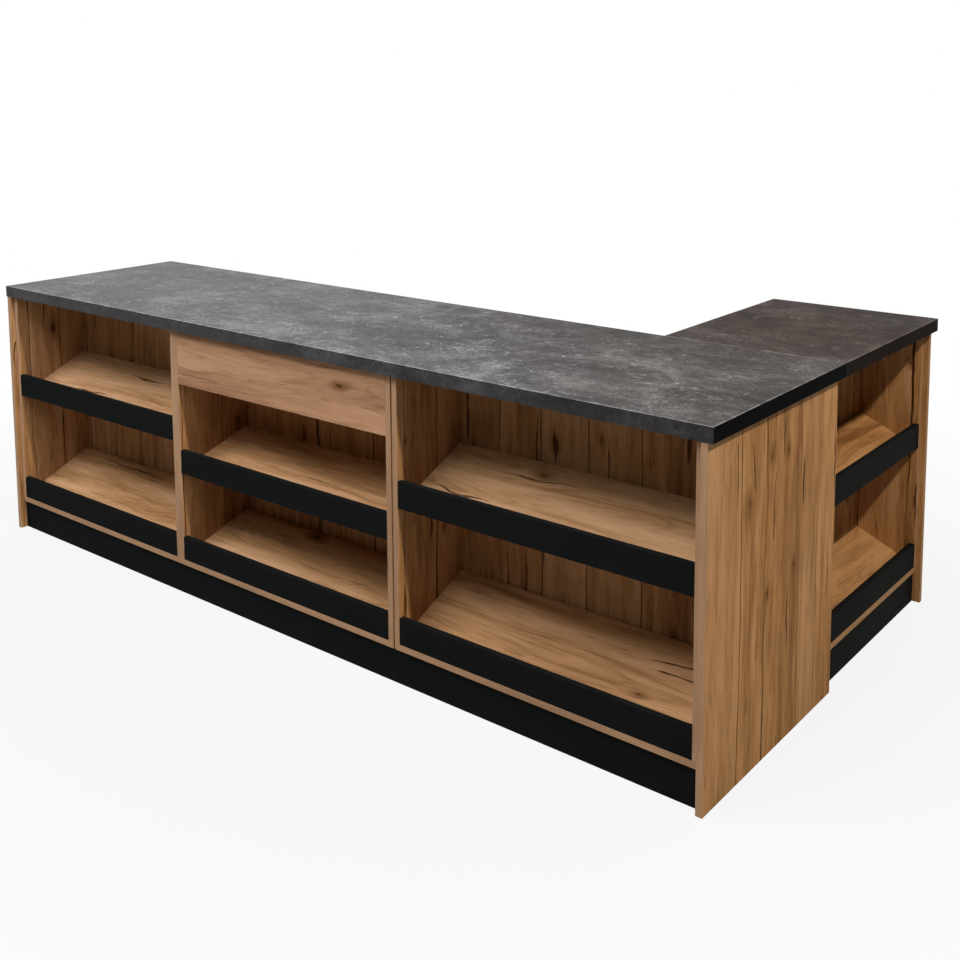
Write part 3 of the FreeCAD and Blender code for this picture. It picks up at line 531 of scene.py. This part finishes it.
def dark_concrete(name, decor, cut_axis, shade, low, high):
    """Concrete decor laminate: clouds, wiped patches, grit and pale flecks under a matt resin, with a
    painted sheen towards the left end.

    The cut ends, which face along cut_axis, have a black plastic band. The rim between the corners low and
    high is pale, partly worn and partly a painted highlight of the rounded edge, and the underside is plain
    backing paper. The print's tones are multiplied by shade.
    """
    material, tree, shader = start_material(name)
    place = add(tree, "ShaderNodeTexCoord")["Object"]
    axes = add(tree, "ShaderNodeSeparateXYZ", {"Vector": place})
    normal = add(tree, "ShaderNodeNewGeometry")["Normal"]
    normal = add(tree, "ShaderNodeSeparateXYZ", {"Vector": normal})
    on_top = add(tree, "ShaderNodeMath", {0: normal["Z"], 1: 0.3}, operation="GREATER_THAN")["Value"]

    # Layers of the print, the first two slightly and the wipes much longer along the run
    wiped, drawn = (
        add(tree, "ShaderNodeVectorMath", {0: place, 1: (share, 1, 1)}, operation="MULTIPLY")["Vector"]
        for share in (0.75, 0.14))
    clouds, mottle, wipes, grit = (
        add(tree, "ShaderNodeTexNoise",
            {"Vector": space, "Scale": per_metre(size), "Detail": detail, "Roughness": rough,
             "Distortion": bend})["Fac"]
        for space, size, detail, rough, bend in (
            (wiped, decor.cloud_size, 6.0, 0.6, 0.9),
            (wiped, decor.mottle_size, 6.0, 0.7, 1.0),
            (drawn, decor.wipe_size, 4.0, 0.6, 0.7),
            (place, decor.grit_size, 2.0, 0.7, 0.0)))
    weights = (1.25, 0.9, 0.25, 0.7)
    mixed = 0.5 - 0.5 * sum(weights)
    for layer, weight in zip((clouds, mottle, wipes, grit), weights):
        mixed = add(tree, "ShaderNodeMath", {0: layer, 1: weight, 2: mixed},
                    operation="MULTIPLY_ADD")["Value"]
    dark, middle, pale, bright = ([c * s for c, s in zip(tone, shade)] for tone in
                                  (decor.dark, decor.middle, decor.pale, decor.fleck))
    ramp = add(tree, "ShaderNodeValToRGB", {"Fac": mixed})["Color"]
    stops = tree.nodes[-1].color_ramp.elements
    stops[0].position, stops[0].color = 0.18, rgba(dark)
    stops[1].position, stops[1].color = 0.84, rgba(pale)
    stops.new(0.5).color = rgba(middle)

    # Paler towards the left end, which is a painted sheen. Pale marks on top: wear, and along the rim also a
    # painted highlight
    to_left = add(tree, "ShaderNodeMapRange",
                  {"Value": axes["X"], "From Min": -1.4, "From Max": 0.5, "To Min": 0.42,
                   "To Max": 0.0})["Result"]
    tint = add(tree, "ShaderNodeMix", {0: to_left, 6: ramp, 7: rgba(decor.pale)}, data_type="RGBA")[2]
    wear_and_highlight, *others = concrete_marks(tree, decor, place, wiped, mottle, grit, to_left)
    for mark in (*others, rim_wear_and_highlight(tree, decor, axes, mottle, low, high)):
        wear_and_highlight = add(tree, "ShaderNodeMath", {0: wear_and_highlight, 1: mark}, operation="MAXIMUM")["Value"]
    wear_and_highlight = add(tree, "ShaderNodeMath", {0: wear_and_highlight, 1: on_top}, operation="MULTIPLY")["Value"]
    tint = add(tree, "ShaderNodeMix", {0: wear_and_highlight, 6: tint, 7: rgba(bright)}, data_type="RGBA")[2]

    # The edges are printed a tone darker than the top. Those that face sideways are darkened more, which is
    # painted shade
    sideways_shade = add(tree, "ShaderNodeMath", {0: normal["X"]}, operation="ABSOLUTE")["Value"]
    edge = add(tree, "ShaderNodeMath", {0: sideways_shade, 1: 0.35, 2: 0.6}, operation="MULTIPLY_ADD")["Value"]
    edge = add(tree, "ShaderNodeMix", {0: on_top, 2: edge, 3: 0.0})[0]
    tint = add(tree, "ShaderNodeMix", {0: edge, 6: tint, 7: rgba(dark)}, data_type="RGBA")[2]

    # Brownish clouds, stronger towards the return
    warm_room = add(tree, "ShaderNodeTexNoise",
                    {"Vector": wiped, "Scale": per_metre(decor.warm_size), "Detail": 3.0})["Fac"]
    warm_room = add(tree, "ShaderNodeMapRange",
                    {"Value": warm_room, "From Min": 0.4, "From Max": 0.62, "To Min": 0.7})["Result"]
    to_return = add(tree, "ShaderNodeMath", {0: axes["Y"], 1: 1.5, 2: axes["X"]},
                    operation="MULTIPLY_ADD")["Value"]
    to_return = add(tree, "ShaderNodeMapRange",
                    {"Value": to_return, "From Min": -0.2, "From Max": 1.5})["Result"]
    warmth = add(tree, "ShaderNodeMath", {0: warm_room, 1: to_return}, operation="MULTIPLY")["Value"]
    tint = add(tree, "ShaderNodeMix", {0: warmth, 6: tint, 7: rgba(decor.warm)}, data_type="RGBA",
               blend_type="MULTIPLY")[2]

    # Band on the cut ends and paper on the underside
    end = add(tree, "ShaderNodeMath", {0: normal[cut_axis]}, operation="ABSOLUTE")["Value"]
    end = add(tree, "ShaderNodeMath", {0: end, 1: 0.8}, operation="GREATER_THAN")["Value"]
    under = add(tree, "ShaderNodeMath", {0: normal["Z"], 1: -0.7}, operation="LESS_THAN")["Value"]
    for covered, cover in ((end, decor.band), (under, decor.backing)):
        tint = add(tree, "ShaderNodeMix", {0: covered, 6: tint, 7: rgba(cover)}, data_type="RGBA")[2]

    relief = add(tree, "ShaderNodeBump", {"Height": mixed, "Strength": 0.25, "Distance": 0.5 * MM})["Normal"]
    sheen = add(tree, "ShaderNodeMapRange", {"Value": mixed, "To Min": 0.66, "To Max": 0.8})["Result"]
    gloss = add(tree, "ShaderNodeMapRange", {"Value": on_top, "To Min": 0.01, "To Max": 0.06})["Result"]
    tree.links.new(tint, shader.inputs["Base Color"])
    tree.links.new(sheen, shader.inputs["Roughness"])
    tree.links.new(gloss, shader.inputs["Specular IOR Level"])
    tree.links.new(relief, shader.inputs["Normal"])
    return material


def grained_finish(name, tint, spread, grain_size, rough, relief, metallic=0.0, gloss=0.5):
    """A plain finish with the fine skin of its surface: pearl laminate, powder coat, plastic or zinc.

    spread is how far its tone wanders, grain_size the size of the skin's grains in metres, rough its lowest
    and highest roughness, relief the depth of the skin in metres, and gloss the shader's specular level.
    """
    drift_size = 120 * MM
    material, tree, shader = start_material(name)
    place = add(tree, "ShaderNodeTexCoord")["Object"]
    skin = add(tree, "ShaderNodeTexNoise",
               {"Vector": place, "Scale": per_metre(grain_size), "Detail": 2.0})["Fac"]
    drift = add(tree, "ShaderNodeTexNoise",
                {"Vector": place, "Scale": per_metre(drift_size), "Detail": 4.0, "Roughness": 0.6})["Fac"]
    both = add(tree, "ShaderNodeMath", {0: skin, 1: 0.35, 2: drift}, operation="MULTIPLY_ADD")["Value"]
    lighter = tuple(min(1.0, c * (1 + spread)) for c in tint)
    darker = tuple(c * (1 - spread) for c in tint)
    tone = add(tree, "ShaderNodeMapRange", {"Value": both, "From Min": 0.4, "From Max": 0.95})["Result"]
    base = add(tree, "ShaderNodeMix", {0: tone, 6: rgba(darker), 7: rgba(lighter)}, data_type="RGBA")[2]
    sheen = add(tree, "ShaderNodeMapRange",
                {"Value": both, "From Min": 0.4, "From Max": 0.95, "To Min": rough[0],
                 "To Max": rough[1]})["Result"]
    bump = add(tree, "ShaderNodeBump", {"Height": skin, "Strength": 0.3, "Distance": relief})["Normal"]
    tree.links.new(base, shader.inputs["Base Color"])
    tree.links.new(sheen, shader.inputs["Roughness"])
    tree.links.new(bump, shader.inputs["Normal"])
    shader.inputs["Metallic"].default_value = metallic
    shader.inputs["Specular IOR Level"].default_value = gloss
    return material


def dress(nodes, material):
    """Gives CAD nodes a material in place of their plain one."""
    for name in nodes:
        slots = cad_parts[name].data.materials
        slots.clear()
        slots.append(material)


class COUNTER_OT_oak_boards(bpy.types.Operator):
    """Oak decor on the carcasses, end panels, shelves and fronts, with the grain as the boards were cut"""
    bl_idname = "counter.oak_boards"
    bl_label = "Oak boards"

    def execute(self, context):
        decor = context.scene.counter_oak
        main_sides = [f"{unit}_unit_{side}_side" for unit in MAIN_UNITS for side in ("left", "right")]
        dress(main_sides + ["end_panel_left", "end_panel_right", "return_unit_partition"],
              golden_oak("oak_laminate_upright_x", decor, "Z", "X"))
        partitions = [f"{unit}_unit_partition" for unit in MAIN_UNITS]
        dress(partitions + ["return_unit_left_side", "return_unit_right_side", "end_panel_return"],
              golden_oak("oak_laminate_upright_y", decor, "Z", "Y"))
        flat_boards = [f"{unit}_unit_bottom" for unit in MAIN_UNITS]
        flat_boards += ["left_unit_staff_shelf", "right_unit_staff_shelf", "middle_unit_drawer_deck",
                        "top_rails_main"]
        dress(flat_boards, golden_oak("oak_laminate_flat_x", decor, "X", "Z"))
        dress(["return_unit_bottom", "return_unit_staff_shelf", "top_rails_return"],
              golden_oak("oak_laminate_flat_y", decor, "Y", "Z"))
        dress(["middle_unit_fascia", "drawer_front"],
              golden_oak("oak_laminate_front", decor, "X", "Y", calm=0.45))
        shelves = {unit: [f"{unit}_unit_upper_shelf", f"{unit}_unit_lower_shelf"] for unit in UNITS}
        dress(shelves["left"] + shelves["right"],
              golden_oak("oak_laminate_shelf", decor, "X", "Z", STEEP_SHELF))
        dress(shelves["middle"], golden_oak("oak_laminate_middle_shelf", decor, "X", "Z", GENTLE_SHELF))
        dress(shelves["return"], golden_oak("oak_laminate_return_shelf", decor, "Y", "Z", STEEP_SHELF))
        return {"FINISHED"}


class COUNTER_OT_worktops(bpy.types.Operator):
    """Concrete decor on the two worktops"""
    bl_idname = "counter.worktops"
    bl_label = "Worktops"

    def execute(self, context):
        decor = context.scene.counter_concrete
        boards = (("worktop_main", "X", WHITE), ("worktop_return", "Y", decor.return_tint))
        for node, cut_axis, shade in boards:
            name = node.replace("worktop", "concrete_laminate")
            dress([node], dark_concrete(name, decor, cut_axis, shade, *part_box(node)))
        return {"FINISHED"}


class COUNTER_OT_black_boards(bpy.types.Operator):
    """Black laminate on the lip boards and the plinths"""
    bl_idname = "counter.black_boards"
    bl_label = "Black boards"

    def execute(self, context):
        finish = context.scene.counter_boards
        # Black pearl laminate: matt, with a skin of fine pearls that breaks up the light
        black = grained_finish("black_pearl_laminate", finish.black, spread=0.18, grain_size=1.6 * MM,
                               rough=(0.68, 0.82), relief=0.12 * MM, gloss=0.02)
        lips = [f"{unit}_unit_{level}_lip" for unit in UNITS for level in ("upper", "lower")]
        dress(lips + ["plinth_main", "plinth_return"], black)
        return {"FINISHED"}


class COUNTER_OT_drawer_box(bpy.types.Operator):
    """Melamine board and lacquered fibreboard for the drawer's box, and powder coat for its handle"""
    bl_idname = "counter.drawer_box"
    bl_label = "Drawer box"

    def execute(self, context):
        finish = context.scene.counter_boards
        # Melamine faced board: smooth and light grey, with the pearl of the press plate
        melamine = grained_finish("grey_melamine_board", finish.melamine, spread=0.05, grain_size=1.4 * MM,
                                  rough=(0.4, 0.5), relief=0.08 * MM)
        dress(["drawer_left_side", "drawer_right_side", "drawer_back"], melamine)
        # Lacquered fibreboard: a thin sheet, slightly uneven in tone
        fibreboard = grained_finish("lacquered_fibreboard", finish.fibreboard, spread=0.08,
                                    grain_size=2.2 * MM, rough=(0.45, 0.6), relief=0.05 * MM)
        dress(["drawer_bottom"], fibreboard)
        # Powder coat: black polyester with a fine orange peel
        coat = grained_finish("black_powder_coat", finish.coat, spread=0.15, grain_size=0.9 * MM,
                              rough=(0.38, 0.5), relief=0.1 * MM)
        dress(["drawer_handle"], coat)
        return {"FINISHED"}


class COUNTER_OT_metalwork(bpy.types.Operator):
    """Bright zinc on the runners, screws and bolts"""
    bl_idname = "counter.metalwork"
    bl_label = "Metalwork"

    def execute(self, context):
        finish = context.scene.counter_boards
        # Zinc plated steel: a cool grey metal, clouded where the plating ran
        zinc = grained_finish("zinc_plated_steel", finish.zinc, spread=0.08, grain_size=1.2 * MM,
                              rough=(0.26, 0.42), relief=0.03 * MM, metallic=1.0)
        dress(["runner_outer_members", "runner_middle_members", "runner_inner_members", "carcass_screws",
               "panel_screws", "unit_connectors", "worktop_joint_bolts"], zinc)
        return {"FINISHED"}


class COUNTER_OT_levelling_feet(bpy.types.Operator):
    """Moulded levelling feet with a thread, turned from one profile and set under every unit"""
    bl_idname = "counter.levelling_feet"
    bl_label = "Levelling feet"

    def execute(self, context):
        sizes = context.scene.counter_feet
        finish = context.scene.counter_boards
        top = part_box("left_unit_bottom")[0].z
        foot = self.turn_foot(sizes, top)
        feet = bmesh.new()
        for unit in UNITS:
            low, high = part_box(f"{unit}_unit_bottom")
            for x in (low.x + sizes.inset, high.x - sizes.inset):
                for y in (low.y + sizes.inset, high.y - sizes.inset):
                    before = len(feet.verts)
                    feet.from_mesh(foot)
                    feet.verts.ensure_lookup_table()
                    bmesh.ops.translate(feet, verts=feet.verts[before:], vec=(x, y, 0))
        mesh = bpy.data.meshes.new("levelling_feet_turned")
        feet.to_mesh(mesh)
        feet.free()
        bpy.data.meshes.remove(foot)
        piece = bpy.data.objects.new("levelling_feet_turned", mesh)
        context.scene.collection.objects.link(piece)
        # Moulded polypropylene: black, with a fine spark-eroded skin
        plastic = grained_finish("moulded_black_plastic", finish.plastic, spread=0.15, grain_size=0.8 * MM,
                                 rough=(0.36, 0.5), relief=0.06 * MM)
        mesh.materials.append(plastic)
        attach(piece, "counter")
        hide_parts("levelling_feet")
        return {"FINISHED"}

    def turn_foot(self, sizes, top):
        """One foot: a pad, a threaded stem and a socket plate, spun about Z."""
        base, stem, pad, pitch = sizes.base / 2, sizes.stem / 2, sizes.pad_height, sizes.thread_pitch
        bevel = pad / 4
        root, shoulder, flare, collar = stem * 0.9, stem * 1.1, stem * 1.25, stem * 1.3
        thread_start, thread_end = pad * 1.6, top - 4 * pad
        outline = [(0, 0), (base - bevel, 0), (base, bevel), (base, pad - bevel), (base - bevel, pad),
                   (flare, pad), (shoulder, thread_start)]
        z = thread_start
        while z + pitch < thread_end:
            outline += [(root, z + pitch * 0.3), (root, z + pitch * 0.5), (stem, z + pitch * 0.8),
                        (stem, z + pitch)]
            z += pitch
        outline += [(collar, z + pitch), (collar, top - pad), (base - bevel, top - pad),
                    (base, top - pad + bevel), (base, top), (0, top)]
        bm = bmesh.new()
        points = [bm.verts.new((r, 0, z)) for r, z in outline]
        for first, second in zip(points, points[1:]):
            bm.edges.new((first, second))
        bmesh.ops.spin(bm, geom=bm.verts[:] + bm.edges[:], axis=(0, 0, 1), cent=(0, 0, 0), angle=math.tau,
                       steps=28, use_merge=True)
        bmesh.ops.remove_doubles(bm, verts=bm.verts, dist=0.01 * MM)
        bmesh.ops.recalc_face_normals(bm, faces=bm.faces)
        mesh = bpy.data.meshes.new("foot")
        bm.to_mesh(mesh)
        bm.free()
        return mesh


class COUNTER_OT_stage(bpy.types.Operator):
    """White floor and surroundings, soft lights, and a camera at the photo's view"""
    bl_idname = "counter.stage"
    bl_label = "Studio"

    def execute(self, context):
        scene = context.scene
        studio = scene.counter_studio
        scene.view_settings.view_transform = "Standard"
        self.floor(scene)
        self.surroundings(scene, studio)
        lights = (("front_light", studio.front, studio.front_colour, 2.4, (0.1, -2.6, 4.6)),
                  ("front_left_light", studio.front_left, studio.front_colour, 1.6, (-2.2, -3.2, 4.2)),
                  ("low_light", studio.low, studio.front_colour, 2.4, (0.3, -3.6, 4.0)),
                  ("side_light", studio.side, studio.side_colour, 0.25, (4.2, -1.3, 4.9)),
                  ("back_light", studio.back, WHITE, 2.0, (-3.6, 2.6, 3.6)),
                  ("staff_light", studio.staff, WHITE, 1.6, (2.2, 4.2, 2.0)))
        for name, watts, tint, size, place in lights:
            self.soft_light(scene, name, watts, tint, size, Vector(place), Vector(studio.aim))
        camera = bpy.data.objects.new("camera", bpy.data.cameras.new("camera"))
        camera.data.sensor_width = studio.sensor
        camera.data.lens = studio.lens
        camera.data.shift_y = studio.rise
        camera.location = studio.camera_place
        camera.rotation_euler = Euler(studio.camera_turn)
        scene.collection.objects.link(camera)
        scene.camera = camera
        return {"FINISHED"}

    def floor(self, scene):
        """A wide floor, seen partly by its own light, so that it stays white round the shadow."""
        half_width, depth = 30.0, 0.2 * MM
        bm = bmesh.new()
        bmesh.ops.create_grid(bm, x_segments=1, y_segments=1, size=half_width)
        bmesh.ops.translate(bm, verts=bm.verts, vec=(0, 0, -depth))
        mesh = bpy.data.meshes.new("floor")
        bm.to_mesh(mesh)
        bm.free()
        floor = bpy.data.objects.new("floor", mesh)
        scene.collection.objects.link(floor)
        # Matt paper, whose own light is weaker near the counter, where the shadow lies
        material, tree, shader = start_material("white_floor")
        shader.inputs["Base Color"].default_value = rgba(linear("#A8A8A7"))
        shader.inputs["Roughness"].default_value = 0.9
        shader.inputs["Specular IOR Level"].default_value = 0.0
        place = add(tree, "ShaderNodeTexCoord")["Object"]
        away = add(tree, "ShaderNodeVectorMath", {0: place}, operation="LENGTH")["Value"]
        away = add(tree, "ShaderNodeMapRange",
                   {"Value": away, "From Min": 1.4, "From Max": 3.2, "To Min": 0.86,
                    "To Max": 1.0})["Result"]
        share = add(tree, "ShaderNodeMath", {0: self.seen_directly(tree), 1: away},
                    operation="MULTIPLY")["Value"]
        glow = add(tree, "ShaderNodeEmission", {"Color": rgba(WHITE), "Strength": 1.0})["Emission"]
        blend = add(tree, "ShaderNodeMixShader", {0: share, 1: shader.outputs["BSDF"], 2: glow})["Shader"]
        tree.links.new(blend, tree.nodes["Material Output"].inputs["Surface"])
        mesh.materials.append(material)

    def seen_directly(self, tree):
        """1 for what the camera, a reflection or a clear material sees, 0 for light on the object."""
        path = add(tree, "ShaderNodeLightPath")
        seen = add(tree, "ShaderNodeMath", {0: path["Is Camera Ray"], 1: path["Is Glossy Ray"]},
                   operation="MAXIMUM")["Value"]
        return add(tree, "ShaderNodeMath", {0: seen, 1: path["Is Transmission Ray"]},
                   operation="MAXIMUM")["Value"]

    def surroundings(self, scene, studio):
        """A white world that lights the object only a little."""
        world = bpy.data.worlds.new("white_studio")
        world.use_nodes = True
        scene.world = world
        tree = world.node_tree
        strength = add(tree, "ShaderNodeMapRange",
                       {"Value": self.seen_directly(tree), "To Min": studio.ambient,
                        "To Max": 1.0})["Result"]
        background = tree.nodes["Background"]
        tree.links.new(strength, background.inputs["Strength"])
        background.inputs["Color"].default_value = rgba(WHITE)

    def soft_light(self, scene, name, watts, tint, size, place, aim):
        """A square light at a place, which shines at the point aim."""
        lamp = bpy.data.lights.new(name, "AREA")
        lamp.energy = watts
        lamp.color = tint
        lamp.size = size
        light = bpy.data.objects.new(name, lamp)
        light.location = place
        light.rotation_euler = (aim - place).to_track_quat("-Z", "Y").to_euler()
        scene.collection.objects.link(light)


PIECES = (COUNTER_OT_oak_boards, COUNTER_OT_worktops, COUNTER_OT_black_boards, COUNTER_OT_drawer_box,
          COUNTER_OT_metalwork, COUNTER_OT_levelling_feet, COUNTER_OT_stage)
SETTINGS = {"counter_oak": OakDecor, "counter_concrete": ConcreteDecor, "counter_boards": BoardFinish,
            "counter_feet": FootSizes, "counter_studio": Studio}


class COUNTER_PT_sidebar(bpy.types.Panel):
    """Lists the counter's pieces and their settings"""
    bl_idname = "COUNTER_PT_sidebar"
    bl_label = "Shop counter"
    bl_space_type = "VIEW_3D"
    bl_region_type = "UI"
    bl_category = "Counter"

    def draw(self, context):
        for piece in PIECES:
            self.layout.operator(piece.bl_idname)
        for name, group in SETTINGS.items():
            box = self.layout.box()
            box.label(text=group.__doc__)
            for setting in group.__annotations__:
                box.prop(getattr(context.scene, name), setting)


CLASSES = (*SETTINGS.values(), *PIECES, COUNTER_PT_sidebar)


def register():
    for cls in CLASSES:
        bpy.utils.register_class(cls)
    for name, group in SETTINGS.items():
        setattr(bpy.types.Scene, name, PointerProperty(type=group))


def unregister():
    for name in SETTINGS:
        delattr(bpy.types.Scene, name)
    for cls in reversed(CLASSES):
        bpy.utils.unregister_class(cls)


def main():
    register()
    for piece in PIECES:
        group, name = piece.bl_idname.split(".")
        getattr(getattr(bpy.ops, group), name)()


if __name__ == "__main__":
    main()
